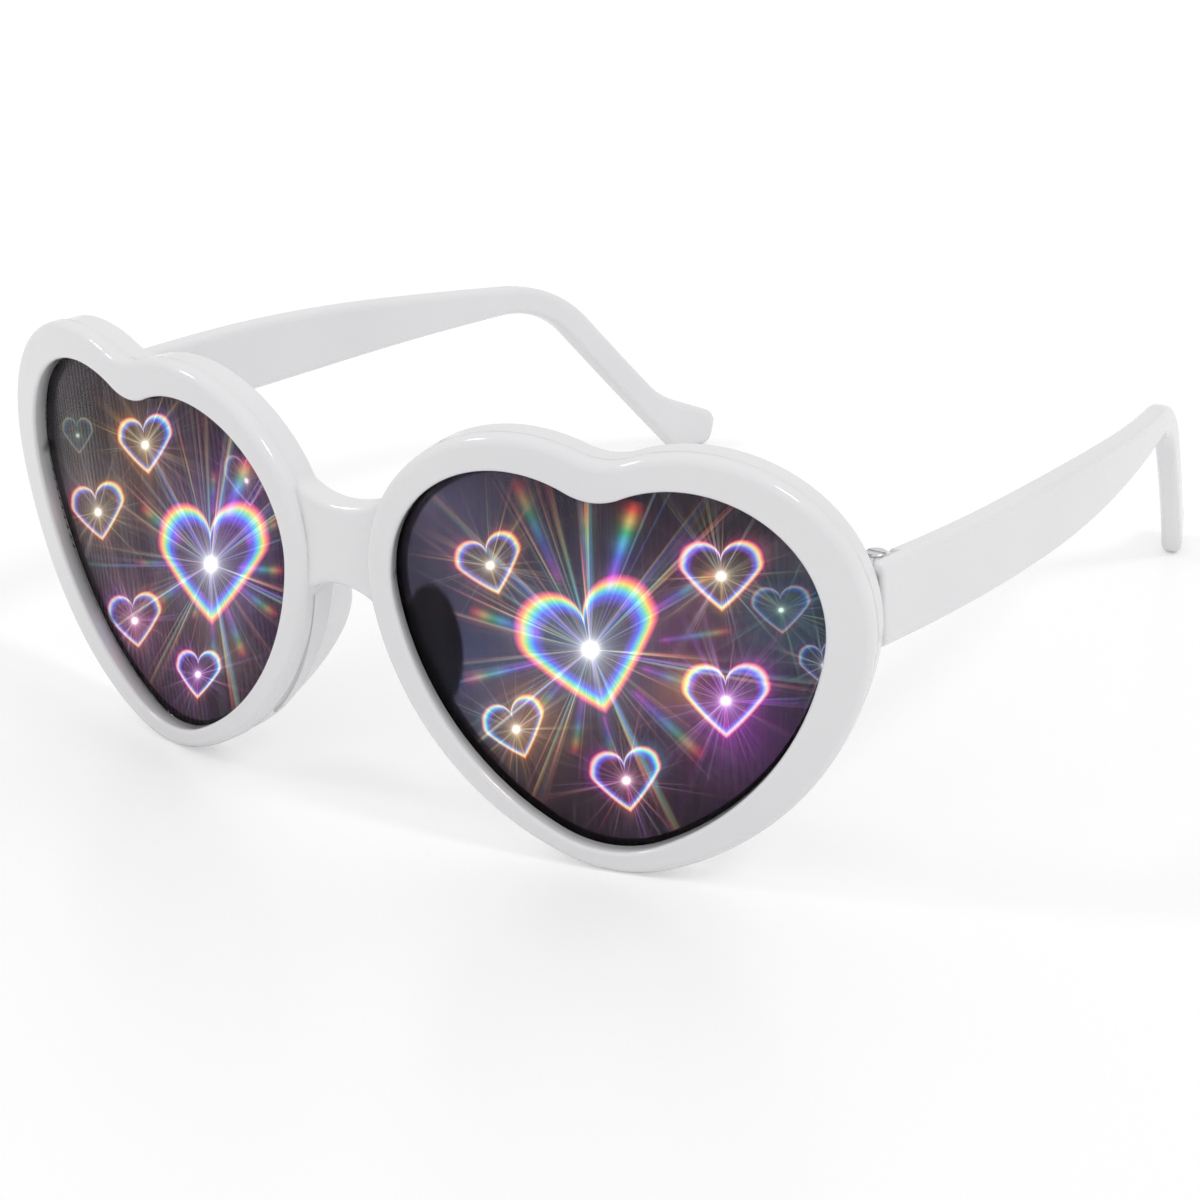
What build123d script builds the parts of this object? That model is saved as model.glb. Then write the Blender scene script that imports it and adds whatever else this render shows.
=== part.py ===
"""Heart-shaped diffraction glasses, open and standing on a table.

Millimetres. +Z is up, the front faces -Y, and the wearer's ears lie towards +Y.
The glasses rest on the two rim tips and the two temple tips, at Z = 0, and the
origin is the middle of their footprint. The +X half is modelled, and the -X half
is its mirror image. One rim is drawn in its own frame: x towards the temple, y up
with the lobe centres at y = 0, and z forwards. The front is curved round an upright
line behind it, and depths are measured forwards from its curved rear face.
"""

import os
from math import atan2, cos, radians, sin, sqrt, tan

from build123d import *

# Heart outline of the lens opening
LOBE_RADIUS = 17.4
LOBE_SPREAD = 11.2
SIDE_LEAN_DEG = 8.9
TIP_DEPTH = 33.2
TIP_RADIUS = 15.6
NOTCH_RADIUS = 8.1

# Rim
RIM_WIDTH = 4.7
RIM_TIP_WIDTH = 3.0
RIM_TIP_RADIUS = 20.4
RIM_NOTCH_RADIUS = 9.2
RIM_SHIFT = 1.1
RIM_DEPTH = 5.8
PARTING_DEPTH = 2.2
PARTING_STEP = 0.3
FRONT_ROUNDING = 1.2
REAR_ROUNDING = 0.6
OPENING_ROUNDING = 0.5

# Lens, film and the groove that holds them
LENS_RECESS = 2.1
LENS_THICKNESS = 1.2
LENS_LIP = 0.8
FILM_THICKNESS = 0.2
GROOVE_SIDE_CLEARANCE = 0.05
GROOVE_EDGE_CLEARANCE = 0.15

# How the two rims stand to each other
CURVE_RADIUS = 180.0
HEART_SPACING = 36.8
WRAP_DEG = 13.5
TILT_DEG = 3.9

# Bridge
BRIDGE_TOP = 8.0
BRIDGE_CROWN_DIP = 2.6
BRIDGE_UNDER = 3.1
BRIDGE_ARCH_RISE = 7.0
BRIDGE_HALF_SPAN = 8.5
BRIDGE_SETBACK = 0.9
BRIDGE_DEPTH = 4.2
BRIDGE_BOW = 0.9
BRIDGE_ROUNDING = 1.1

# Moulded nose pads
PAD_TOP = 5.2
PAD_BOTTOM = 26.5
PAD_REACH = 10.4
PAD_THICKNESS = 2.4
PAD_FLARE_DEG = 24.0
PAD_ROUNDING = 0.9
PAD_SWELL_SHARES = (1.3, 0.28, 1.22)

# Temple
TEMPLE_LENGTH = 136.3
TEMPLE_THICKNESS = 3.4
TEMPLE_ROOT_ABOVE = 8.0
TEMPLE_ROOT_BELOW = 3.6
TEMPLE_CROWN = 1.9
TEMPLE_CROWN_RADIUS = 500.0
TEMPLE_WAIST_RADIUS = 600.0
EAR_BEND_HEIGHT = 33.8
EAR_BEND_DEPTH = 3.1
EAR_BEND_RADIUS = 24.0
UNDER_BEND_RADIUS = 17.0
HOOK_SLOPE_DEG = 50.0
HOOK_WIDTH = 4.6
FOOT_LENGTH = 10.4
FLARE_HEIGHT = 10.2
FLARE_RADIUS = 14.0
FOOT_HEIGHT = 5.2
FOOT_CUT_BACK = 1.0
FOOT_ROUNDING = 2.2
HEEL_RADIUS = 3.0
TEMPLE_ROUNDING = 1.2
TEMPLE_END_ROUNDING = 0.6
TEMPLE_BOW = 9.4
TEMPLE_TOE_IN = 23.5

# Hinge
HINGE_SETBACK = 5.3
KNUCKLE_RADIUS = 2.0
KNUCKLE_CLEARANCE = 0.2
SKIN = 1.3
EAR_HEIGHT = 9.0
EAR_TOP_STEP = 1.3
EAR_INNER = 1.2
EAR_SUNK = 1.0
FRAME_KNUCKLE = 2.9
KNUCKLE_GAP = 0.15
WEB_LENGTH = 3.5
END_GAP = 0.2
SCREW_RADIUS = 0.7
SCREW_FIT = 0.06
SCREW_HOLD = 0.02
SCREW_HEAD_RADIUS = 1.25
SCREW_HEAD_HEIGHT = 0.45
SCREW_SLOT_WIDTH = 0.35
SCREW_SLOT_DEPTH = 0.2
SCREW_END_INSET = 0.4

OVERRUN = 30.0


def heart(lobe, depth, tip, notch):
    """A heart from six tangent arcs. lobe, tip and notch are radii, depth is how far the tip lies below the lobes."""
    lean = radians(SIDE_LEAN_DEG)
    fall = depth - tip
    gap = lobe - tip
    reach = LOBE_SPREAD * cos(lean) - fall * sin(lean) + gap
    side_over = (LOBE_SPREAD**2 + fall**2 - gap**2) / (2 * reach)
    centre = Vector(LOBE_SPREAD, 0)
    side_centre = Vector(LOBE_SPREAD - side_over * cos(lean), side_over * sin(lean))
    tip_centre = Vector(0, -fall)
    notch_centre = Vector(0, sqrt((lobe + notch) ** 2 - LOBE_SPREAD**2))
    to_notch = (notch_centre - centre).normalized()
    to_tip = (tip_centre - side_centre).normalized()
    side = side_over + lobe

    crown = centre + to_notch * lobe
    waist = centre + Vector(cos(lean), -sin(lean)) * lobe
    heel = side_centre + to_tip * side
    crown_angle = atan2(to_notch.Y, to_notch.X)
    lobe_mid = (crown_angle - lean) / 2
    side_mid = (-lean + atan2(to_tip.Y, to_tip.X)) / 2
    over_lobe = centre + Vector(cos(lobe_mid), sin(lobe_mid)) * lobe
    down_side = side_centre + Vector(cos(side_mid), sin(side_mid)) * side

    def flip(point):
        return Vector(-point.X, point.Y)

    edges = [
        ThreePointArc(flip(crown), notch_centre - Vector(0, notch), crown),
        ThreePointArc(crown, over_lobe, waist),
        ThreePointArc(waist, down_side, heel),
        ThreePointArc(heel, tip_centre - Vector(0, tip), flip(heel)),
        ThreePointArc(flip(heel), flip(down_side), flip(waist)),
        ThreePointArc(flip(waist), flip(over_lobe), flip(crown)),
    ]
    return Face(Wire(edges))


def opening(grow=0.0):
    return heart(LOBE_RADIUS + grow, TIP_DEPTH + grow, TIP_RADIUS + grow, NOTCH_RADIUS - grow)


def rim_outline(grow=0.0):
    """The rim's outer edge, which lies a little further towards the temple than the opening."""
    return Pos(RIM_SHIFT, 0) * heart(
        LOBE_RADIUS + RIM_WIDTH + grow,
        TIP_DEPTH + RIM_TIP_WIDTH + grow,
        RIM_TIP_RADIUS + grow,
        RIM_NOTCH_RADIUS - grow,
    )


def half_width():
    """From the rim's middle to the widest point of its outer edge."""
    return RIM_SHIFT + LOBE_SPREAD + LOBE_RADIUS + RIM_WIDTH


def layer(outline, low, high):
    """What lies inside an outline between two depths of the curved front."""
    tall = OVERRUN * 4
    ring = Cylinder(CURVE_RADIUS + high, tall) - Cylinder(CURVE_RADIUS + low, tall)
    prism = extrude(Pos(0, 0, -OVERRUN) * outline, amount=OVERRUN * 2, dir=(0, 0, 1))
    return prism & (Pos(0, 0, -CURVE_RADIUS) * Rot(X=90) * ring)


def front_and_rear(body):
    """The two broad faces of a rim, the front one first."""
    return body.faces().sort_by(SortBy.AREA)[-2:].sort_by(Axis.Z)[::-1]


def rim():
    parting = RIM_DEPTH - PARTING_DEPTH
    body = layer(rim_outline(-PARTING_STEP), 0, parting) + layer(rim_outline(), parting, RIM_DEPTH)
    body = fillet(front_and_rear(body)[0].edges(), FRONT_ROUNDING)
    body = fillet(front_and_rear(body)[1].edges(), REAR_ROUNDING)
    body -= layer(opening(), -RIM_DEPTH, RIM_DEPTH * 2)
    body = fillet(front_and_rear(body)[0].inner_wires()[0].edges(), OPENING_ROUNDING)
    lens_front = RIM_DEPTH - LENS_RECESS
    groove_front = lens_front + GROOVE_SIDE_CLEARANCE
    groove_rear = lens_front - LENS_THICKNESS - FILM_THICKNESS - GROOVE_SIDE_CLEARANCE
    body -= layer(opening(LENS_LIP + GROOVE_EDGE_CLEARANCE), groove_rear, groove_front)
    return body


def nose_pad():
    """A crescent fin on the nasal side of the rim, splayed to follow the side of the nose."""
    band = rim_outline(-PARTING_STEP) - rim_outline(-PARTING_STEP - PAD_THICKNESS)
    span = PAD_BOTTOM - PAD_TOP
    window = Pos(-half_width() / 2, -PAD_TOP - span / 2) * Rectangle(half_width(), span)
    strip = (Sketch() + band) & window
    backwards = Vector(tan(radians(PAD_FLARE_DEG)), 0, -1)
    sunk = REAR_ROUNDING * 2
    start = Pos(-sunk * backwards.X, 0, sunk)
    wall = extrude(start * strip, amount=(PAD_REACH + sunk) * backwards.length, dir=backwards)
    profile = [
        Bezier(
            (-PAD_TOP, 0),
            (-PAD_TOP, -PAD_REACH * PAD_SWELL_SHARES[0]),
            (-PAD_BOTTOM + span * PAD_SWELL_SHARES[1], -PAD_REACH * PAD_SWELL_SHARES[2]),
            (-PAD_BOTTOM, 0),
        ),
        Line((-PAD_BOTTOM, 0), (-PAD_BOTTOM, sunk)),
        Line((-PAD_BOTTOM, sunk), (-PAD_TOP, sunk)),
        Line((-PAD_TOP, sunk), (-PAD_TOP, 0)),
    ]
    crescent = Plane.YZ * Face(Wire(profile))
    pad = wall & extrude(crescent, amount=half_width() * 2, both=True)
    free_edges = [e for e in pad.edges() if e.center().Z < -REAR_ROUNDING]
    return fillet(free_edges, PAD_ROUNDING)


def plate():
    """Where the right rim's own frame lies in the model, before everything is centred."""
    wrap, tilt = radians(WRAP_DEG), radians(TILT_DEG)
    forwards = (sin(wrap) * cos(tilt), -cos(wrap) * cos(tilt), -sin(tilt))
    origin = (HEART_SPACING * cos(wrap), HEART_SPACING * sin(wrap), 0)
    return Plane(origin, x_dir=(cos(wrap), sin(wrap), 0), z_dir=forwards)


def rear_y(x, z=0.0):
    """Y of the right rim's curved rear face at a given X and Z."""
    face = plate()
    start = Vector(x, 0, z) - (face.origin - face.z_dir * CURVE_RADIUS)
    start -= face.y_dir * start.dot(face.y_dir)
    step = Vector(0, 1, 0) - face.y_dir * face.y_dir.Y
    half_sum = start.dot(step) / step.dot(step)
    product = (start.dot(start) - CURVE_RADIUS**2) / step.dot(step)
    return -half_sum - sqrt(half_sum**2 - product)


def bridge():
    """A saddle between the rims: bowed in plan, with a dipped crown and an arch below."""
    front = rear_y(0) - RIM_DEPTH + BRIDGE_SETBACK
    rear = front + BRIDGE_DEPTH
    span = BRIDGE_HALF_SPAN
    plan = [
        ThreePointArc((-span, front + BRIDGE_BOW), (0, front), (span, front + BRIDGE_BOW)),
        Line((span, front + BRIDGE_BOW), (span, rear + BRIDGE_BOW)),
        ThreePointArc((span, rear + BRIDGE_BOW), (0, rear), (-span, rear + BRIDGE_BOW)),
        Line((-span, rear + BRIDGE_BOW), (-span, front + BRIDGE_BOW)),
    ]
    crown = BRIDGE_TOP + BRIDGE_CROWN_DIP
    foot = -BRIDGE_UNDER - BRIDGE_ARCH_RISE
    view = [
        ThreePointArc((-span, crown), (0, BRIDGE_TOP), (span, crown)),
        Line((span, crown), (span, foot)),
        ThreePointArc((span, foot), (0, -BRIDGE_UNDER), (-span, foot)),
        Line((-span, foot), (-span, crown)),
    ]
    block = extrude(Face(Wire(plan)), amount=OVERRUN, both=True)
    block &= extrude(Plane.XZ * Face(Wire(view)), amount=OVERRUN, both=True)
    long_edges = [e for e in block.edges() if abs(e.center().X) < span / 2]
    return fillet(long_edges, BRIDGE_ROUNDING)


def lobe_height():
    """Height of the lobe centres when the rounded front edge of the rim's tip touches the table."""
    tilt = radians(TILT_DEG)
    down = TIP_DEPTH + RIM_TIP_WIDTH - FRONT_ROUNDING
    return down * cos(tilt) + (RIM_DEPTH - FRONT_ROUNDING) * sin(tilt) + FRONT_ROUNDING


def temple_outer_x():
    """X of the temple's outer face at the hinge, flush with the rim's widest rear edge."""
    side = half_width() - PARTING_STEP
    return plate().from_local_coords((side, 0, sqrt(CURVE_RADIUS**2 - side**2) - CURVE_RADIUS)).X


def hinge():
    """The hinge line's X and Y, and the heights between which the ear stands."""
    x = temple_outer_x() - SKIN - KNUCKLE_CLEARANCE - KNUCKLE_RADIUS
    top = lobe_height() + TEMPLE_ROOT_ABOVE - EAR_TOP_STEP
    y = rear_y(x, TEMPLE_ROOT_ABOVE - EAR_TOP_STEP - EAR_HEIGHT / 2) + HINGE_SETBACK
    return x, y, top - EAR_HEIGHT, top


def block(low, high):
    size = [b - a for a, b in zip(low, high)]
    middle = [(a + b) / 2 for a, b in zip(low, high)]
    return Pos(*middle) * Box(*size)


def post(x, y, low, high, radius):
    return Pos(x, y, (low + high) / 2) * Cylinder(radius, high - low)


def ear():
    """The moulded hinge ear: a root block that carries an upper and a lower knuckle."""
    x, y, low, high = hinge()
    inner, outer = x - EAR_INNER, x + KNUCKLE_RADIUS
    sunk = rear_y(x, high - lobe_height()) - EAR_SUNK
    body = block((inner, sunk, low), (outer, y - KNUCKLE_RADIUS - KNUCKLE_CLEARANCE, high))
    for bottom, top in ((low, low + FRAME_KNUCKLE), (high - FRAME_KNUCKLE, high)):
        arm = block((inner, sunk, bottom), (outer, y, top)) + post(x, y, bottom, top, KNUCKLE_RADIUS)
        body += arm
    return body - post(x, y, low - OVERRUN, high + OVERRUN, SCREW_RADIUS + SCREW_HOLD)


def front_frame():
    half = Pos(0, 0, lobe_height()) * (plate().location * (rim() + nose_pad())) + ear()
    lens_space = layer(opening(LENS_LIP + GROOVE_EDGE_CLEARANCE), -RIM_DEPTH, RIM_DEPTH * 2)
    lens_space = Pos(0, 0, lobe_height()) * (plate().location * lens_space)
    saddle = Pos(0, 0, lobe_height()) * bridge() - lens_space - mirror(lens_space, about=Plane.YZ)
    return half + mirror(half, about=Plane.YZ) + saddle


def glazing(rear, thickness):
    """A heart-shaped curved sheet in the right rim's groove. rear is how far forwards its rear face lies."""
    sheet = layer(opening(LENS_LIP), rear, rear + thickness)
    return Pos(0, 0, lobe_height()) * (plate().location * sheet)


def lens():
    return glazing(RIM_DEPTH - LENS_RECESS - LENS_THICKNESS, LENS_THICKNESS)


def diffraction_film():
    return glazing(RIM_DEPTH - LENS_RECESS - LENS_THICKNESS - FILM_THICKNESS, FILM_THICKNESS)


def temple_outline():
    """The temple from its outer side: x is the distance back from its front end, y the height above the table."""
    root_top = lobe_height() + TEMPLE_ROOT_ABOVE
    root_bottom = lobe_height() - TEMPLE_ROOT_BELOW
    lead = HINGE_SETBACK
    slope = radians(HOOK_SLOPE_DEG)
    flare_at = TEMPLE_LENGTH - FOOT_LENGTH
    bend_at = flare_at - (EAR_BEND_HEIGHT - FLARE_HEIGHT) / tan(slope)
    underside = EAR_BEND_HEIGHT - EAR_BEND_DEPTH
    middle = bend_at / 2
    crown = (root_top + EAR_BEND_HEIGHT) / 2 + TEMPLE_CROWN
    heel_at = bend_at + EAR_BEND_HEIGHT / tan(slope) - HOOK_WIDTH / sin(slope)
    corners = [
        (-lead, root_bottom, FOOT_ROUNDING),
        (-lead, root_top, FOOT_ROUNDING),
        (middle, crown, TEMPLE_CROWN_RADIUS),
        (bend_at, EAR_BEND_HEIGHT, EAR_BEND_RADIUS),
        (flare_at, FLARE_HEIGHT, FLARE_RADIUS),
        (TEMPLE_LENGTH, FOOT_HEIGHT, FOOT_ROUNDING),
        (TEMPLE_LENGTH - FOOT_CUT_BACK, 0, FOOT_ROUNDING),
        (heel_at, 0, HEEL_RADIUS),
        (heel_at - underside / tan(slope), underside, UNDER_BEND_RADIUS),
        (middle, underside, TEMPLE_WAIST_RADIUS),
    ]
    points = [(along, height) for along, height, _ in corners]
    radii = [radius for _, _, radius in corners]
    return Face(FilletPolyline(*points, radius=radii, close=True))


def temple_plan(root_y):
    """The temple from above: a thin bow, toed in towards its tip."""

    def outer(along, inset):
        share = along / TEMPLE_LENGTH
        x = temple_outer_x() - TEMPLE_TOE_IN * share + 4 * TEMPLE_BOW * share * (1 - share)
        return x - inset, root_y + along

    def side(inset):
        return ThreePointArc(
            outer(-HINGE_SETBACK * 2, inset), outer(TEMPLE_LENGTH / 2, inset), outer(TEMPLE_LENGTH + OVERRUN, inset)
        )

    out, back = side(0), side(TEMPLE_THICKNESS)
    return Face(Wire([out, Line(out @ 1, back @ 1), back, Line(back @ 0, out @ 0)]))


def temple():
    x, y, low, high = hinge()
    root_y = rear_y(x, high - EAR_HEIGHT / 2 - lobe_height()) + END_GAP
    tall = lobe_height() + TEMPLE_ROOT_ABOVE + TEMPLE_CROWN
    bar = extrude(temple_plan(root_y), amount=tall, dir=(0, 0, 1))
    bar &= extrude(Pos(0, root_y, 0) * (Plane.YZ * temple_outline()), amount=TEMPLE_LENGTH, both=True)
    rims = [e for e in bar.edges().filter_by(Axis.X, reverse=True) if e.center().Y > root_y]
    bar = fillet(rims, TEMPLE_ROUNDING)
    ahead = layer(Pos(half_width(), 0) * Rectangle(half_width(), half_width() * 2), -END_GAP, OVERRUN)
    bar -= Pos(0, 0, lobe_height()) * (plate().location * ahead)
    bar = fillet(bar.faces().sort_by(Axis.Y)[0].edges(), TEMPLE_END_ROUNDING)

    pocket = block(
        (x - OVERRUN, y - OVERRUN, low - KNUCKLE_GAP),
        (x + KNUCKLE_RADIUS + KNUCKLE_CLEARANCE, y, high + OVERRUN),
    )
    pocket += post(x, y, low - KNUCKLE_GAP, high + OVERRUN, KNUCKLE_RADIUS + KNUCKLE_CLEARANCE)
    bar -= pocket
    bottom, top = low + FRAME_KNUCKLE + KNUCKLE_GAP, high - FRAME_KNUCKLE - KNUCKLE_GAP
    web = block(
        (x - EAR_INNER, y, bottom),
        (x + KNUCKLE_RADIUS + KNUCKLE_CLEARANCE + SKIN / 2, y + WEB_LENGTH, top),
    )
    bar += web
    bar += post(x, y, bottom, top, KNUCKLE_RADIUS)
    return bar - post(x, y, bottom - KNUCKLE_GAP, top + KNUCKLE_GAP, SCREW_RADIUS + SCREW_FIT)


def hinge_screw():
    x, y, low, high = hinge()
    screw = post(x, y, low + SCREW_END_INSET, high, SCREW_RADIUS)
    screw += post(x, y, high, high + SCREW_HEAD_HEIGHT, SCREW_HEAD_RADIUS)
    slot = block(
        (x - SCREW_HEAD_RADIUS * 2, y - SCREW_SLOT_WIDTH / 2, high + SCREW_HEAD_HEIGHT - SCREW_SLOT_DEPTH),
        (x + SCREW_HEAD_RADIUS * 2, y + SCREW_SLOT_WIDTH / 2, high + OVERRUN),
    )
    return screw - slot


def main():
    front = front_frame()
    side = {"lens": lens(), "diffraction_film": diffraction_film(), "temple": temple(), "hinge_screw": hinge_screw()}
    front_y = front.bounding_box().min.Y
    rear_end = side["temple"].bounding_box().max.Y
    centred = Pos(0, -(front_y + rear_end) / 2, 0)
    parts = {"front_frame": front}
    for name, shape in side.items():
        parts["right_" + name] = shape
        parts["left_" + name] = mirror(shape, about=Plane.YZ)
    os.makedirs("parts", exist_ok=True)
    for name, shape in parts.items():
        export_step(centred * shape, f"parts/{name}.step")
        print(name, len(shape.solids()), shape.is_valid, round(shape.volume, 1), (centred * shape).bounding_box())
    x, y, low, high = hinge()
    print("hinge line", x, y - (front_y + rear_end) / 2, "from", low, "to", high, "lobe height", lobe_height())


main()
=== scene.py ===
"""Looks of the heart-shaped diffraction glasses: plastic, lenses, the light in the film, floor and lamps.

Metres, in the part's own frame: +Z up, the lenses face -Y. A heart's place on a film is in millimetres from
the middle of that film, across to the viewer's right and up in the film's plane.
"""

from math import asin, cos, hypot, radians, sin

import bmesh
import bpy
from mathutils import Matrix, Vector

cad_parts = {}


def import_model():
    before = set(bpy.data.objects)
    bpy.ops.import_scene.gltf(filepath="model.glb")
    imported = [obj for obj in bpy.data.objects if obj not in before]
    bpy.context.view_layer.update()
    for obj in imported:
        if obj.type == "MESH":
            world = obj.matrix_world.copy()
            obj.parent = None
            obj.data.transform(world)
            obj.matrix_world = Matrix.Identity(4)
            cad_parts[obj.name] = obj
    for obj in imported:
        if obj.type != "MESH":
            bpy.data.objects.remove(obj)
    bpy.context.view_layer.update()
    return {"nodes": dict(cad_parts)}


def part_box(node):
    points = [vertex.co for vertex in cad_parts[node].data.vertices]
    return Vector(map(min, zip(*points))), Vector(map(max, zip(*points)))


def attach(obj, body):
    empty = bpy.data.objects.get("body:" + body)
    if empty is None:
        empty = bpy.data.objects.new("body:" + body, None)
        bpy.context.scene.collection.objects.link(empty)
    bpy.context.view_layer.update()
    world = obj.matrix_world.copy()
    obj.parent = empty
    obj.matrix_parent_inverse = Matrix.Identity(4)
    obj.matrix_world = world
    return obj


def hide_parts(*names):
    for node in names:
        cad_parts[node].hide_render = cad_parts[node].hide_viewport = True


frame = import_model()
MM = 0.001

# Camera. The lens and the sensor are in millimetres.
CAMERA_AZIMUTH_DEG = 34.88
CAMERA_ELEVATION_DEG = 21.63
CAMERA_ROLL_DEG = -0.8
CAMERA_DISTANCE = 501.75 * MM
CAMERA_ACROSS = -10.81 * MM
CAMERA_ABOVE = 5.32 * MM
CAMERA_LENS = 101.36
SENSOR_WIDTH = 36.0

# Smooth copies of the CAD shapes
MERGE_DISTANCE = 0.002 * MM
SHARP_DEG = 35.0

# Light of the studio, and the white floor: what it throws on the glasses and how the camera sees it
WORLD_LEVEL = 0.97
BACKDROP_LEVEL = 0.985
FLOOR_SIZE = 12.0
FLOOR_BOUNCE = 0.96
FLOOR_SEEN = 0.62
FLOOR_LIFT = 0.395
FLOOR_ROUGHNESS = 0.3
FLOOR_SPECULAR = 0.25

# Two broad lamps: azimuth, elevation, strength and width
LAMPS = {
    "key": (85.0, 50.0, 0.5, 12.0),
    "fill": (-60.0, 42.0, 0.3, 12.0),
}

# White plastic: broad flow marks in its colour and gloss, and finer waves in its surface
FLOW_SCALE = 28.0
FLOW_DETAIL = 3.0
FLOW_COLOURS = ((0.3, (0.80, 0.80, 0.815)), (0.7, (0.84, 0.84, 0.85)))
WAVE_SCALE = 160.0
WAVE_DETAIL = 1.0
WAVE_STRENGTH = 0.04
WAVE_HEIGHT = 0.2 * MM
PLASTIC_ROUGHNESS = 0.12
FLOW_ROUGHNESS = 0.06
PLASTIC_IOR = 1.49
PLASTIC_COAT = 0.6
PLASTIC_COAT_ROUGHNESS = 0.04

# Clear lenses, with faint smears
LENS_COLOUR = (0.98, 0.98, 0.98)
LENS_ROUGHNESS = 0.02
LENS_IOR = 1.16
SMEAR_SCALE = 90.0
SMEAR_DETAIL = 3.0
SMEAR_ROUGHNESS = 0.03

# Hinge screws of turned steel
STEEL_COLOUR = (0.8, 0.8, 0.82)
STEEL_ROUGHNESS = 0.26
TURNING_SCALE = 4000.0
TURNING_DETAIL = 1.0
TURNING_ROUGHNESS = 0.15

# A film heart in its own units: lobes of radius 1 that touch on the heart's axis. Its sides swell a little,
# from this many star heights above its star down to its tip.
LOBE_ACROSS = 1.0
LOBE_HEIGHT = 2.75
STAR_HEIGHT = 1.88
HALF_WIDTH = 2.0
FULL_HEIGHT = LOBE_HEIGHT + 1
SIDE_SWELL = 0.1
SWELL_ABOVE = 0.5

# Least values that keep divisions sound, and the share of a point that has no lobe in its direction
SMALLEST_HEIGHT = 0.01
SMALLEST_REACH = 1e-4
NO_LOBE_SHARE = 9.0

# Colours of the light painted into the film's glow
BLACK = (0.0, 0.0, 0.0)
PURE_WHITE = (1.0, 1.0, 1.0)
WHITE = (0.85, 0.95, 1.0)
PINK = (1.0, 0.12, 0.38)
MAGENTA = (0.85, 0.06, 1.0)
VIOLET = (0.3, 0.1, 1.0)
BLUE = (0.06, 0.2, 1.0)
CYAN = (0.08, 0.65, 1.0)
GREEN = (0.06, 0.65, 0.25)
YELLOW = (1.0, 0.68, 0.16)
AMBER = (1.0, 0.36, 0.06)
RED = (1.0, 0.1, 0.06)

# The colours of a ray from its inner end, at 0, to its outer end, at 1
SPECTRUM = (
    (0.0, BLACK),
    (0.1, MAGENTA),
    (0.26, VIOLET),
    (0.4, BLUE),
    (0.54, CYAN),
    (0.66, GREEN),
    (0.78, YELLOW),
    (0.9, RED),
    (1.0, BLACK),
)

# The rainbow across a heart's outline, from its inner edge to its outer one
RING_COLOURS = (
    (0.0, BLACK),
    (0.16, (0.05, 0.03, 0.3)),
    (0.34, (0.05, 0.09, 0.8)),
    (0.48, (0.03, 0.48, 0.8)),
    (0.6, (0.2, 0.8, 0.25)),
    (0.72, (1.0, 0.62, 0.08)),
    (0.82, (1.0, 0.2, 0.1)),
    (0.91, (0.55, 0.03, 0.16)),
    (1.0, BLACK),
)

# Where each heart lies: across, up, half width, height, turn of its axis and slant of its width. How it
# shines: strength, ring share, ray reach and how much of its own tint it has. Its colours: left, right, tip
# and star. The first heart of each film is the large one that the beams come from.
HEARTS = {}
HEARTS["right_diffraction_film"] = [
    ((-2.1, 1.6, 9.8, 17.2, 10.9, 20.9), (1.0, 0.40, 3.4, 0.0), (WHITE, WHITE, WHITE, WHITE)),
    ((-15.3, 11.1, 5.0, 7.9, 14.0, 24.5), (0.9, 0.30, 1.7, 0.5), (PINK, AMBER, YELLOW, YELLOW)),
    ((15.1, 13.6, 5.2, 9.4, 0.0, 6.6), (1.0, 0.30, 1.7, 0.45), (MAGENTA, PINK, YELLOW, YELLOW)),
    ((15.3, -3.3, 5.5, 10.3, -0.3, 6.9), (1.05, 0.30, 1.7, 0.45), (YELLOW, MAGENTA, MAGENTA, MAGENTA)),
    ((-12.9, -11.4, 4.8, 8.2, 15.4, 27.0), (0.9, 0.28, 1.7, 0.45), (CYAN, YELLOW, AMBER, YELLOW)),
    ((2.0, -16.2, 4.9, 8.9, 5.6, 16.4), (1.0, 0.30, 1.7, 0.45), (MAGENTA, CYAN, AMBER, PINK)),
    ((22.4, 9.7, 3.6, 6.4, 2.5, 8.0), (0.3, 0.26, 3.4, 0.5), (BLUE, BLUE, RED, GREEN)),
    ((27.5, 2.6, 2.9, 6.2, 9.7, 15.0), (0.35, 0.26, 2.0, 0.5), (BLUE, BLUE, PINK, WHITE)),
]
HEARTS["left_diffraction_film"] = [
    ((10.4, 1.0, 11.9, 18.4, -8.4, 15.0), (1.0, 0.38, 3.2, 0.0), (WHITE, WHITE, WHITE, WHITE)),
    ((-1.4, 15.2, 7.0, 8.4, -0.9, 18.5), (1.0, 0.30, 1.7, 0.45), (AMBER, BLUE, AMBER, YELLOW)),
    ((-16.6, 1.1, 8.6, 8.4, 3.8, 21.0), (0.9, 0.28, 1.7, 0.45), (PINK, YELLOW, AMBER, YELLOW)),
    ((-10.1, -13.4, 8.0, 8.2, 1.5, 21.0), (0.9, 0.28, 1.7, 0.45), (VIOLET, AMBER, AMBER, PINK)),
    ((4.4, -17.1, 5.4, 8.1, -11.9, 15.5), (1.0, 0.30, 1.7, 0.45), (MAGENTA, CYAN, AMBER, MAGENTA)),
    ((-19.6, 11.7, 4.9, 5.6, -4.6, 15.5), (0.22, 0.26, 2.0, 0.5), (GREEN, GREEN, RED, GREEN)),
    ((19.8, 15.2, 4.2, 7.2, 3.2, 12.5), (0.3, 0.22, 2.4, 0.5), (VIOLET, PINK, VIOLET, PINK)),
]

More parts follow.
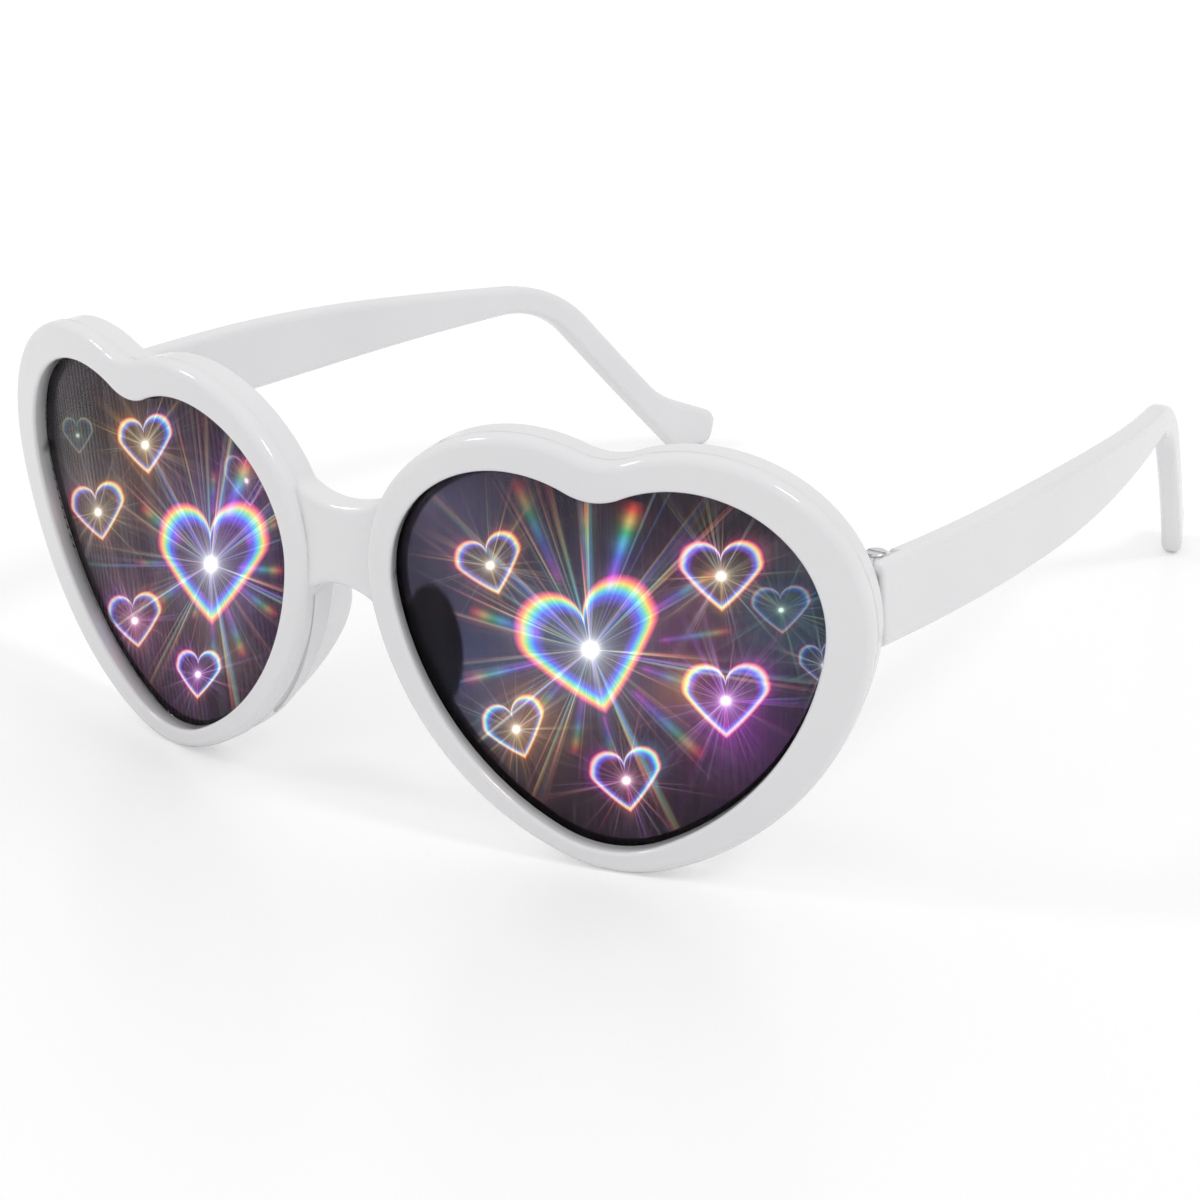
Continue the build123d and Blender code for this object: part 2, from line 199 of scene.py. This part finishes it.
# Broad coloured beams from the large heart's star, in that heart's own units: direction in degrees, start,
# end, half width and strength
BEAMS = {}
BEAMS["right_diffraction_film"] = [
    (60.0, 1.7, 4.4, 0.10, 0.9),
    (101.0, 2.0, 5.4, 0.07, 0.3),
    (79.5, 1.9, 4.2, 0.05, 0.25),
    (150.0, 1.5, 3.8, 0.08, 0.55),
    (181.5, 1.4, 4.0, 0.07, 0.45),
    (18.5, 2.0, 4.1, 0.07, 0.45),
    (-6.5, 1.9, 4.0, 0.05, 0.35),
    (-33.5, 1.5, 3.2, 0.07, 0.4),
    (-58.0, 1.6, 4.6, 0.08, 0.4),
    (-112.0, 1.3, 3.2, 0.07, 0.35),
    (-91.5, 1.9, 3.5, 0.06, 0.3),
    (-144.0, 1.1, 2.5, 0.08, 0.35),
]
BEAMS["left_diffraction_film"] = [
    (66.0, 1.5, 3.5, 0.13, 0.8),
    (147.0, 1.2, 3.4, 0.09, 0.45),
    (180.0, 1.1, 3.2, 0.05, 0.3),
    (-6.0, 1.0, 2.6, 0.08, 0.5),
    (-35.0, 1.0, 2.9, 0.08, 0.4),
    (-68.0, 1.4, 3.2, 0.08, 0.4),
    (-89.0, 1.8, 3.2, 0.06, 0.3),
    (-113.0, 0.9, 1.9, 0.07, 0.35),
    (-150.0, 1.1, 2.6, 0.09, 0.3),
    (86.5, 1.5, 2.9, 0.06, 0.3),
    (27.0, 1.4, 2.8, 0.08, 0.35),
]

# Soft clouds of light on each film: across, up, radius, colour
CLOUDS = {}
CLOUDS["right_diffraction_film"] = [
    (-20.0, 16.0, 9.0, (0.05, 0.045, 0.08)),
    (-19.0, -4.0, 7.0, (0.02, 0.035, 0.09)),
    (-2.5, 1.6, 8.5, (0.04, 0.05, 0.09)),
    (10.0, 6.0, 7.0, (0.06, 0.01, 0.03)),
    (-11.0, -9.0, 5.0, (0.14, 0.06, 0.02)),
    (9.0, -3.0, 3.0, (0.12, 0.05, 0.01)),
    (16.0, -7.0, 4.5, (0.09, 0.01, 0.12)),
    (22.0, 8.0, 6.0, (0.01, 0.04, 0.06)),
]
CLOUDS["left_diffraction_film"] = [
    (10.4, 1.0, 9.0, (0.05, 0.02, 0.09)),
    (-16.0, 2.0, 6.0, (0.04, 0.025, 0.02)),
    (-10.0, -13.0, 6.0, (0.07, 0.02, 0.06)),
    (-2.0, 14.0, 6.0, (0.07, 0.03, 0.01)),
    (16.0, 10.0, 6.0, (0.06, 0.01, 0.1)),
    (10.0, -10.0, 5.0, (0.07, 0.04, 0.01)),
]
CLOUD_FALL = 3.0

# In what follows, a range is from where something starts to where it is full.

# A heart's outline: its bright line across the ring, the halo about it, and where its colours meet
RING_OVERHANG = 0.12
RING_PALING = 0.3
LINE_RISE = (0.35, 0.62)
LINE_FALL = (0.62, 0.9)
LINE_TINT = 0.7
HALO_SHARE = 0.94
HALO_NARROWNESS = 4.5
HALO_LEAST = 0.02
HALO_TINT = 0.16
SIDES_RANGE = (-1.0, 1.0)
TIP_RANGE = (0.4, 1.8)

# Rays about a star, from a broad and a fine noise over their direction: places, colours, lengths and light
NOISE_MEAN = 0.5
NOISE_START = (2.3, 1.1)
NOISE_STEP = (3.7, 5.3)
BROAD_SCALE = 7.0
FINE_SCALE = 21.0
RAY_DETAIL = 2.0
BROAD_RANGE = (0.5, 0.72)
FINE_RANGE = (0.5, 0.7)
FINE_RAYS = 0.8
FINE_HUES = 1.6
BROAD_HUES = 2.0
MEAN_HUE = 0.45
HUE_DRIFT = 0.1
LENGTH_RANGE = (0.4, 0.62)
LENGTH_SPREAD = 0.9
LENGTH_LEAST = 0.25
RAY_FALL = 3.0
RAY_LIGHT = 0.6
RAY_PALENESS = 0.12
RAY_TINTING = 0.7
GLINT_LIGHT = 0.1

# The star: its white core, its glow and the thin tail down to the heart's tip
CORE_RADIUS = 0.22
CORE_NEAREST = 0.02
CORE_FALL = 2.7
CORE_LIMIT = 3.0
CORE_WHITENESS = 0.75
GLOW_NARROWNESS = 2.6
GLOW_FALL = 2.0
GLOW_LIGHT = 0.28
TAIL_THINNESS = 700.0
TAIL_START = (-0.1, 0.4)
TAIL_END = (-0.1, 0.5)
TAIL_LIGHT = 0.3

# The broad beams widen away from the star
BEAM_WIDTH = 0.6
BEAM_WIDENING = 0.25
BEAM_EDGE = 0.5
BEAM_LIGHT = 0.7

# The film: its own dark surface, a faint haze of painted glow that it gives off, and how much shows through
# it
FILM_COLOUR = (0.012, 0.01, 0.012)
FILM_ROUGHNESS = 0.3
FILM_IOR = 1.3
FILM_CLEARNESS = 0.05
HAZE_SCALE = 0.09
HAZE_DETAIL = 5.0
HAZE_GLOW_COLOURS = ((0.3, (0.0, 0.0, 0.002)), (0.55, (0.012, 0.009, 0.016)), (0.75, (0.05, 0.04, 0.06)))

# Painted shade: the film is darkened at its edge, in the gap where it meets the rim, and a painted shadow of
# the rim darkens a wider band on the viewer's left.
# The ranges are millimetres inside the edge and to the left of the film's middle.
EDGE_SHADE_RANGE = (0.35, 0.6)
RIM_SHADOW_RANGE = (1.0, 1.5)
RIM_SHADOW_SIDE = (8.0, 20.0)
RIM_SHADOW_DARKNESS = 0.85

# Painted shade: a dark patch on the right film where the nose pad behind it darkens it: across, up, half
# width, half height
PAD_SHADE = (-24.0, -1.6, 4.3, 9.0)
PAD_SHADE_RANGE = (0.86, 1.04)
PAD_SHADE_LEAST = 0.06

# The film's visible outline, the same heart as in the CAD, and how far above the film's middle the centres
# of its lobes lie
LOBE_RADIUS = 17.4
LOBE_SPREAD = 11.2
SIDE_LEAN_DEG = 8.9
TIP_DEPTH = 33.2
TIP_RADIUS = 15.6
NOTCH_RADIUS = 8.1
LOBES_UP = 8.03

# A colour Mix node's sockets
MIX_FACTOR = 0
MIX_FIRST = 6
MIX_SECOND = 7
MIX_RESULT = 2


class Value:
    """What one output socket carries. Sums, products and other maths on values add the nodes for them."""

    def __init__(self, graph, socket):
        self.graph = graph
        self.socket = socket

    def __neg__(self):
        return 0.0 - self

    def __abs__(self):
        return self.graph.math("ABSOLUTE", self)

    def __add__(self, other):
        return self.graph.math("ADD", self, other)

    __radd__ = __add__

    def __mul__(self, other):
        return self.graph.math("MULTIPLY", self, other)

    __rmul__ = __mul__

    def __sub__(self, other):
        return self.graph.math("SUBTRACT", self, other)

    def __rsub__(self, other):
        return self.graph.math("SUBTRACT", other, self)

    def __truediv__(self, other):
        return self.graph.math("DIVIDE", self, other)

    def __rtruediv__(self, other):
        return self.graph.math("DIVIDE", other, self)

    def __pow__(self, other):
        return self.graph.math("POWER", self, other)

    def __lt__(self, other):
        return self.graph.math("LESS_THAN", self, other)

    def __gt__(self, other):
        return self.graph.math("GREATER_THAN", self, other)

    def root(self):
        return self.graph.math("SQRT", self)

    def least(self, other):
        return self.graph.math("MINIMUM", self, other)

    def most(self, other):
        return self.graph.math("MAXIMUM", self, other)

    def between(self, low, high):
        """0 below low, 1 above high and a smooth rise between them."""
        inputs = {"Value": self, "From Min": low, "From Max": high}
        return self.graph.node("ShaderNodeMapRange", {"interpolation_type": "SMOOTHSTEP"}, inputs)

    def ramp(self, stops):
        return self.graph.node("ShaderNodeValToRGB", {"stops": stops}, {"Fac": self})


class Graph:
    """The node tree of one material."""

    def __init__(self, name):
        self.material = bpy.data.materials.new(name)
        self.material.use_nodes = True
        self.tree = self.material.node_tree
        self.tree.nodes.clear()

    def node(self, kind, settings=None, inputs=None, output=0):
        """Adds a node, sets it up, and gives its sockets their values or links."""
        made = self.tree.nodes.new(kind)
        for name, value in (settings or {}).items():
            if name == "stops":
                self.set_ramp(made.color_ramp, value)
            else:
                setattr(made, name, value)
        for key, value in (inputs or {}).items():
            socket = made.inputs[key]
            if isinstance(value, Value):
                self.tree.links.new(value.socket, socket)
            elif socket.type == "RGBA":
                socket.default_value = (*value, 1.0)
            else:
                socket.default_value = value
        return Value(self, made.outputs[output]) if made.outputs else None

    @staticmethod
    def set_ramp(ramp, stops):
        while len(ramp.elements) < len(stops):
            ramp.elements.new(1.0)
        for element, (place, colour) in zip(ramp.elements, stops):
            element.position = place
            element.color = (*colour, 1.0)

    def math(self, operation, *values):
        return self.node("ShaderNodeMath", {"operation": operation}, dict(enumerate(values)))

    def vector(self, operation, *values, output=0):
        return self.node("ShaderNodeVectorMath", {"operation": operation}, dict(enumerate(values)), output)

    def dot(self, first, second):
        return self.vector("DOT_PRODUCT", first, second, output="Value")

    def flat_vector(self, x, y):
        return self.node("ShaderNodeCombineXYZ", None, {"X": x, "Y": y})

    def add(self, light, colour, amount):
        """Some light with a colour on top of it, as strong as a number says."""
        settings = {"data_type": "RGBA", "blend_type": "ADD", "clamp_factor": False}
        return self.mix(settings, amount, light, colour)

    def blend(self, amount, first, second):
        return self.mix({"data_type": "RGBA"}, amount, first, second)

    def mix(self, settings, amount, first, second):
        inputs = {MIX_FACTOR: amount, MIX_FIRST: first, MIX_SECOND: second}
        return self.node("ShaderNodeMix", settings, inputs, MIX_RESULT)

    def noise(self, vector, scale, detail, output=0, dimensions="3D"):
        inputs = {"Vector": vector, "Scale": scale, "Detail": detail}
        return self.node("ShaderNodeTexNoise", {"noise_dimensions": dimensions}, inputs, output)

    def split(self, colour):
        """The three channels of a colour, as numbers."""
        made = self.tree.nodes.new("ShaderNodeSeparateColor")
        self.tree.links.new(colour.socket, made.inputs[0])
        return [Value(self, channel) for channel in made.outputs]

    def place(self):
        return self.node("ShaderNodeTexCoord", output="Object")

    def finish(self, **sockets):
        """Ends the tree in a Principled shader and returns the material."""
        inputs = {name.replace("_", " "): value for name, value in sockets.items()}
        shader = self.node("ShaderNodeBsdfPrincipled", None, inputs, "BSDF")
        self.node("ShaderNodeOutputMaterial", None, {"Surface": shader})
        return self.material


class Group(Graph):
    """A node group with named inputs that adds a layer to some light."""

    def __init__(self, name, colours, numbers):
        self.tree = bpy.data.node_groups.new(name, "ShaderNodeTree")
        for label in colours:
            self.tree.interface.new_socket(label, in_out="INPUT", socket_type="NodeSocketColor")
        for label in numbers:
            self.tree.interface.new_socket(label, in_out="INPUT", socket_type="NodeSocketFloat")
        self.tree.interface.new_socket("Light", in_out="OUTPUT", socket_type="NodeSocketColor")
        source = self.tree.nodes.new("NodeGroupInput")
        self.inputs = [Value(self, source.outputs[label]) for label in (*colours, *numbers)]

    def give(self, light):
        self.node("NodeGroupOutput", None, {"Light": light})
        return self.tree


def white_plastic():
    graph = Graph("white_plastic")
    place = graph.place()
    flow = graph.noise(place, FLOW_SCALE, FLOW_DETAIL)
    waves = graph.noise(place, WAVE_SCALE, WAVE_DETAIL)
    colour = flow.ramp(FLOW_COLOURS)
    roughness = PLASTIC_ROUGHNESS + flow * FLOW_ROUGHNESS
    inputs = {"Strength": WAVE_STRENGTH, "Distance": WAVE_HEIGHT, "Height": waves}
    bump = graph.node("ShaderNodeBump", None, inputs)
    return graph.finish(
        Base_Color=colour,
        Roughness=roughness,
        Normal=bump,
        IOR=PLASTIC_IOR,
        Coat_Weight=PLASTIC_COAT,
        Coat_Roughness=PLASTIC_COAT_ROUGHNESS,
    )


def clear_lens():
    graph = Graph("clear_lens_plastic")
    smears = graph.noise(graph.place(), SMEAR_SCALE, SMEAR_DETAIL)
    return graph.finish(
        Base_Color=LENS_COLOUR,
        Roughness=LENS_ROUGHNESS + smears * SMEAR_ROUGHNESS,
        IOR=LENS_IOR,
        Transmission_Weight=1.0,
    )


def steel():
    graph = Graph("turned_steel")
    rings = graph.noise(graph.place(), TURNING_SCALE, TURNING_DETAIL)
    return graph.finish(
        Base_Color=STEEL_COLOUR,
        Metallic=1.0,
        Roughness=STEEL_ROUGHNESS + rings * TURNING_ROUGHNESS,
    )


def film_axes(node):
    """Middle of a film, and the directions across and up in its plane."""
    low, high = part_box(node)
    mesh = frame["nodes"][node].data
    forwards = Vector()
    for face in mesh.polygons:
        if face.normal.y < 0:
            forwards += face.normal * face.area
    forwards.normalize()
    across = Vector((0, 0, 1)).cross(forwards).normalized()
    return (low + high) / 2, across, forwards.cross(across)


def heart_share(x, y):
    """How large a heart passes through a point, as a share of the full one. x and y are from its star.

    A heart is two round lobes and the wedge below them, between the straight sides and under the chords from
    where a side touches its lobe to where the lobes touch each other.
    """
    side = abs(x)
    lobe_x, lobe_y = LOBE_ACROSS, LOBE_HEIGHT - STAR_HEIGHT
    toward = side * lobe_x + y * lobe_y
    square = x * x + y * y
    excess = toward * toward - square * (lobe_x**2 + lobe_y**2 - 1)
    reach = (toward + excess.most(0.0).root()).most(SMALLEST_REACH)
    lobe = square / reach + (excess < 0.0) * NO_LOBE_SHARE
    slope = 2 * asin(1 / hypot(1, LOBE_HEIGHT))
    straight = (side * cos(slope) - y * sin(slope)) * (1 / (STAR_HEIGHT * sin(slope)))
    touch = Vector((LOBE_HEIGHT * sin(slope), LOBE_HEIGHT * cos(slope) - STAR_HEIGHT))
    chord = Vector((lobe_y - touch.y, touch.x)).normalized()
    under = (side * chord.x + y * chord.y) * (1 / (lobe_y * chord.y))
    plain = lobe.least(straight.most(under))
    down = (SWELL_ABOVE - y / (plain * STAR_HEIGHT).most(SMALLEST_HEIGHT)) * (1 / (1 + SWELL_ABOVE))
    # The product is 1/4 at most, halfway down
    swell = (down * (1 - down)).most(0.0) * 4
    return plain * (1 - swell * SIDE_SWELL)


def heart_axes(graph, flat, shape):
    """A point of the film in a heart's own units, from its star."""
    across, up, half_width, height, turn_deg, slant_deg = shape
    turn, slant = radians(turn_deg), radians(slant_deg)
    away = graph.vector("SUBTRACT", flat, (across, up, 0.0))
    wide = HALF_WIDTH / half_width / cos(slant - turn)
    tall = FULL_HEIGHT / height / cos(slant - turn)
    x = graph.dot(away, (cos(turn) * wide, sin(turn) * wide, 0.0))
    y = graph.dot(away, (-sin(slant) * tall, cos(slant) * tall, 0.0))
    return x, y


def heart_group():
    """Adds one heart of painted light, its star with the rays, and the line down to its tip. X and Y are in
    its own units.
    """
    colours = ("Other Light", "Left", "Right", "Tip", "Star")
    numbers = ("X", "Y", "Seed", "Strength", "Ring", "Reach", "Tinting")
    graph = Group("heart_light", colours, numbers)
    light, left, right, tip, star, x, y, seed, strength, ring, reach, tinting = graph.inputs
    share = heart_share(x, y)
    band = (share - 1 + ring) / (ring * (1 + RING_OVERHANG))
    line = band.between(*LINE_RISE) * (1 - band.between(*LINE_FALL))
    off = (share - HALO_SHARE) * HALO_NARROWNESS
    halo = 1 / (1 + off * off * off * off)
    sides = graph.blend(x.between(*SIDES_RANGE), left, right)
    tint = graph.blend((-y).between(*TIP_RANGE), sides, tip)
    light = graph.add(light, band.ramp(RING_COLOURS), strength * (1 - RING_PALING * tinting))
    tinted = line * tinting * LINE_TINT + halo * (HALO_LEAST + HALO_TINT * tinting)
    light = graph.add(light, tint, tinted * strength)

    away = graph.flat_vector(x, y)
    distance = graph.vector("LENGTH", away, output="Value")
    direction = graph.vector("NORMALIZE", away)
    own = graph.flat_vector(*(seed * step + start for step, start in zip(NOISE_STEP, NOISE_START)))
    direction = graph.vector("ADD", direction, own)
    broad = graph.split(graph.noise(direction, BROAD_SCALE, RAY_DETAIL, "Color", "2D"))
    fine = graph.split(graph.noise(direction, FINE_SCALE, RAY_DETAIL, "Color", "2D"))
    rays = broad[0].between(*BROAD_RANGE) + fine[0].between(*FINE_RANGE) * FINE_RAYS
    hue = (fine[1] - NOISE_MEAN) * FINE_HUES + (broad[1] - NOISE_MEAN) * BROAD_HUES + MEAN_HUE
    hues = (hue + distance * HUE_DRIFT).ramp(SPECTRUM)
    length = (broad[2].between(*LENGTH_RANGE) * LENGTH_SPREAD + LENGTH_LEAST) * reach
    fade = 1 / (1 + (distance / length) ** RAY_FALL)
    light = graph.add(light, PURE_WHITE, line * rays * rays * GLINT_LIGHT * strength)
    hues = graph.blend(RAY_PALENESS + RAY_TINTING * tinting, hues, star)
    light = graph.add(light, hues, rays * fade * RAY_LIGHT * strength)

    core = (CORE_RADIUS / distance.most(CORE_NEAREST)) ** CORE_FALL
    glow = 1 / (1 + (distance * GLOW_NARROWNESS) ** GLOW_FALL)
    thin = 1 / (1 + x * x * TAIL_THINNESS)
    tail = thin * (-y).between(*TAIL_START) * (y + STAR_HEIGHT).between(*TAIL_END)
    light = graph.add(light, star, (glow * GLOW_LIGHT + tail * TAIL_LIGHT) * strength)
    white = graph.blend(CORE_WHITENESS, star, PURE_WHITE)
    return graph.give(graph.add(light, white, core.least(CORE_LIMIT) * strength))


def beam_group():
    """Adds one broad beam away from a star, in all the colours of the rainbow."""
    numbers = ("X", "Y", "Cosine", "Sine", "Start", "End", "Half Width", "Strength")
    graph = Group("beam_light", ("Other Light",), numbers)
    light, x, y, cosine, sine, start, end, half_width, strength = graph.inputs
    along = x * cosine + y * sine
    across = (y * cosine - x * sine) / half_width / (BEAM_WIDTH + along.most(0.0) * BEAM_WIDENING)
    slim = 1 / (1 + across * across * BEAM_EDGE)
    hues = ((along - start) / (end - start)).ramp(SPECTRUM)
    return graph.give(graph.add(light, hues, slim * slim * strength * BEAM_LIGHT))


def film_light(graph, flat, node, hearts, beams):
    """The glow painted into the film, standing in for the light that the real film bends from the lamps,
    added up as one colour.
    """
    light = BLACK
    for seed, (shape, power, colours) in enumerate(HEARTS[node]):
        x, y = heart_axes(graph, flat, shape)
        inputs = {"Other Light": light, "X": x, "Y": y, "Seed": seed}
        inputs.update(zip(("Strength", "Ring", "Reach", "Tinting"), power))
        inputs.update(zip(("Left", "Right", "Tip", "Star"), colours))
        light = graph.node("ShaderNodeGroup", {"node_tree": hearts}, inputs)
    x, y = heart_axes(graph, flat, HEARTS[node][0][0])
    for angle_deg, *sizes in BEAMS[node]:
        angle = radians(angle_deg)
        inputs = {"Other Light": light, "X": x, "Y": y, "Cosine": cos(angle), "Sine": sin(angle)}
        inputs.update(zip(("Start", "End", "Half Width", "Strength"), sizes))
        light = graph.node("ShaderNodeGroup", {"node_tree": beams}, inputs)
    for across, up, radius, colour in CLOUDS[node]:
        distance = graph.vector("DISTANCE", flat, (across, up, 0.0), output="Value")
        light = graph.add(light, colour, 1 / (1 + (distance * (1 / radius)) ** CLOUD_FALL))
    return light


def inward(graph, flat):
    """How far inside the lens opening a point lies, in millimetres."""
    away = graph.vector("SUBTRACT", flat, (0.0, LOBES_UP, 0.0))
    x = abs(graph.dot(away, (1.0, 0.0, 0.0)))
    y = graph.dot(away, (0.0, 1.0, 0.0))
    lean = radians(SIDE_LEAN_DEG)
    fall = TIP_DEPTH - TIP_RADIUS
    gap = LOBE_RADIUS - TIP_RADIUS
    reach = LOBE_SPREAD * cos(lean) - fall * sin(lean) + gap
    over = (LOBE_SPREAD**2 + fall**2 - gap**2) / (2 * reach)
    lobe = Vector((LOBE_SPREAD, 0))
    side = Vector((LOBE_SPREAD - over * cos(lean), over * sin(lean)))
    tip = Vector((0, -fall))
    notch = Vector((0, ((LOBE_RADIUS + NOTCH_RADIUS) ** 2 - LOBE_SPREAD**2) ** 0.5))

    def distance(centre):
        across, up = x - centre.x, y - centre.y
        return (across * across + up * up).root()

    def left_of(start, end):
        """1 on the left of the line from start to end, else 0."""
        way = end - start
        return (y - start.y) * way.x - (x - start.x) * way.y > 0.0

    flank = (over + LOBE_RADIUS) - distance(side)
    round_lobe = LOBE_RADIUS - distance(lobe)
    round_tip = TIP_RADIUS - distance(tip)
    hollow = distance(notch) - NOTCH_RADIUS
    above = left_of(side, lobe)
    below = 1 - left_of(side, tip)
    middle = left_of(lobe, notch)
    lower = flank + (round_tip - flank) * below
    upper = round_lobe + (hollow - round_lobe) * middle
    return lower + (upper - lower) * above


def diffraction_film(node, hearts, beams):
    graph = Graph(node)
    middle, across, up = film_axes(node)
    away = graph.vector("SUBTRACT", graph.place(), tuple(middle))
    flat = graph.flat_vector(graph.dot(away, tuple(across / MM)), graph.dot(away, tuple(up / MM)))
    # A faint haze of painted glow over the film
    haze_glow = graph.noise(flat, HAZE_SCALE, HAZE_DETAIL).ramp(HAZE_GLOW_COLOURS)
    light = graph.add(film_light(graph, flat, node, hearts, beams), haze_glow, 1.0)
    inside = inward(graph, flat)
    # Painted shade at the film's edge and a painted shadow of the rim on its left, which dim its glow and
    # its clearness
    left_side = (-graph.dot(flat, (1.0, 0.0, 0.0))).between(*RIM_SHADOW_SIDE)
    edge = inside.between(*EDGE_SHADE_RANGE)
    band = 1 - (1 - inside.between(*RIM_SHADOW_RANGE)) * left_side * RIM_SHADOW_DARKNESS
    clear = edge * band
    # Painted shade of the nose pad on the right film
    if node == "right_diffraction_film":
        across_patch, up_patch, half_width, half_height = PAD_SHADE
        aside = graph.vector("SUBTRACT", flat, (across_patch, up_patch, 0.0))
        aside = graph.vector("MULTIPLY", aside, (1 / half_width, 1 / half_height, 0.0))
        outside = graph.vector("LENGTH", aside, output="Value").between(*PAD_SHADE_RANGE)
        clear = clear * (PAD_SHADE_LEAST + outside * (1 - PAD_SHADE_LEAST))
    # The film glows: its hearts, stars, rays, beams, clouds and haze are painted light in its emission
    return graph.finish(
        Base_Color=FILM_COLOUR,
        Roughness=FILM_ROUGHNESS,
        IOR=FILM_IOR,
        Specular_IOR_Level=0.0,
        Alpha=1 - clear * FILM_CLEARNESS,
        Emission_Color=graph.add(BLACK, light, clear),
        Emission_Strength=1.0,
    )


def add_object(name, data):
    made = bpy.data.objects.new(name, data)
    bpy.context.scene.collection.objects.link(made)
    return made


def smooth_copy(node):
    """The CAD shape with its seams merged, so that it can be shaded smoothly."""
    mesh = frame["nodes"][node].data.copy()
    work = bmesh.new()
    work.from_mesh(mesh)
    bmesh.ops.remove_doubles(work, verts=work.verts, dist=MERGE_DISTANCE)
    work.to_mesh(mesh)
    work.free()
    mesh.shade_smooth()
    mesh.set_sharp_from_angle(angle=radians(SHARP_DEG))
    made = add_object(node + "_smooth", mesh)
    shading = made.modifiers.new("weighted_normals", "WEIGHTED_NORMAL")
    shading.keep_sharp = True
    shading.mode = "FACE_AREA_WITH_ANGLE"
    return made


def dress(node, material, body="front"):
    made = smooth_copy(node)
    made.data.materials.clear()
    made.data.materials.append(material)
    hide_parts(node)
    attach(made, body)


def dress_all():
    plastic, lens, metal = white_plastic(), clear_lens(), steel()
    hearts, beams = heart_group(), beam_group()
    dress("front_frame", plastic)
    for side in ("right_", "left_"):
        dress(side + "temple", plastic, side + "temple")
        dress(side + "lens", lens)
        dress(side + "hinge_screw", metal)
        film = side + "diffraction_film"
        dress(film, diffraction_film(film, hearts, beams))


def floor():
    half = FLOOR_SIZE / 2
    mesh = bpy.data.meshes.new("floor")
    corners = [(-half, -half, 0), (half, -half, 0), (half, half, 0), (-half, half, 0)]
    mesh.from_pydata(corners, [], [(0, 1, 2, 3)])
    made = add_object("floor", mesh)
    graph = Graph("floor")
    seen = graph.node("ShaderNodeLightPath", output="Is Camera Ray")
    mesh.materials.append(
        graph.finish(
            Base_Color=graph.blend(seen, (FLOOR_BOUNCE,) * 3, (FLOOR_SEEN,) * 3),
            Roughness=FLOOR_ROUGHNESS,
            Specular_IOR_Level=FLOOR_SPECULAR,
            Emission_Color=PURE_WHITE,
            Emission_Strength=seen * FLOOR_LIFT,
        )
    )


def world():
    made = bpy.data.worlds.new("studio")
    bpy.context.scene.world = made
    made.use_nodes = True
    tree = made.node_tree
    tree.nodes.clear()
    output = tree.nodes.new("ShaderNodeOutputWorld")
    background = tree.nodes.new("ShaderNodeBackground")
    path = tree.nodes.new("ShaderNodeLightPath")
    level = tree.nodes.new("ShaderNodeMapRange")
    level.inputs["To Min"].default_value = WORLD_LEVEL
    level.inputs["To Max"].default_value = BACKDROP_LEVEL
    tree.links.new(path.outputs["Is Camera Ray"], level.inputs["Value"])
    tree.links.new(level.outputs[0], background.inputs["Strength"])
    tree.links.new(background.outputs[0], output.inputs[0])


def towards(azimuth_deg, elevation_deg):
    """The direction to a lamp or the camera. Azimuth 0 is straight in front of the glasses."""
    azimuth, elevation = radians(azimuth_deg), radians(elevation_deg)
    return Vector((sin(azimuth) * cos(elevation), -cos(azimuth) * cos(elevation), sin(elevation)))


def lamp(name, azimuth_deg, elevation_deg, strength, angle_deg):
    light = bpy.data.lights.new(name, "SUN")
    light.energy = strength
    light.angle = radians(angle_deg)
    made = add_object(name, light)
    made.rotation_mode = "QUATERNION"
    made.rotation_quaternion = towards(azimuth_deg, elevation_deg).to_track_quat("Z", "Y")


def camera():
    azimuth, roll = radians(CAMERA_AZIMUTH_DEG), radians(CAMERA_ROLL_DEG)
    back = towards(CAMERA_AZIMUTH_DEG, CAMERA_ELEVATION_DEG)
    level = Vector((cos(azimuth), sin(azimuth), 0))
    upright = back.cross(level)
    right = level * cos(roll) + upright * sin(roll)
    top = upright * cos(roll) - level * sin(roll)
    lens = bpy.data.cameras.new("camera")
    lens.sensor_width = SENSOR_WIDTH
    lens.lens = CAMERA_LENS
    made = add_object("camera", lens)
    made.matrix_world = Matrix((right, top, back)).transposed().to_4x4()
    made.location = back * CAMERA_DISTANCE + right * CAMERA_ACROSS + top * CAMERA_ABOVE
    bpy.context.scene.camera = made


def main():
    camera()
    world()
    floor()
    for name, settings in LAMPS.items():
        lamp(name, *settings)
    dress_all()
    bpy.context.scene.view_settings.view_transform = "Standard"


main()
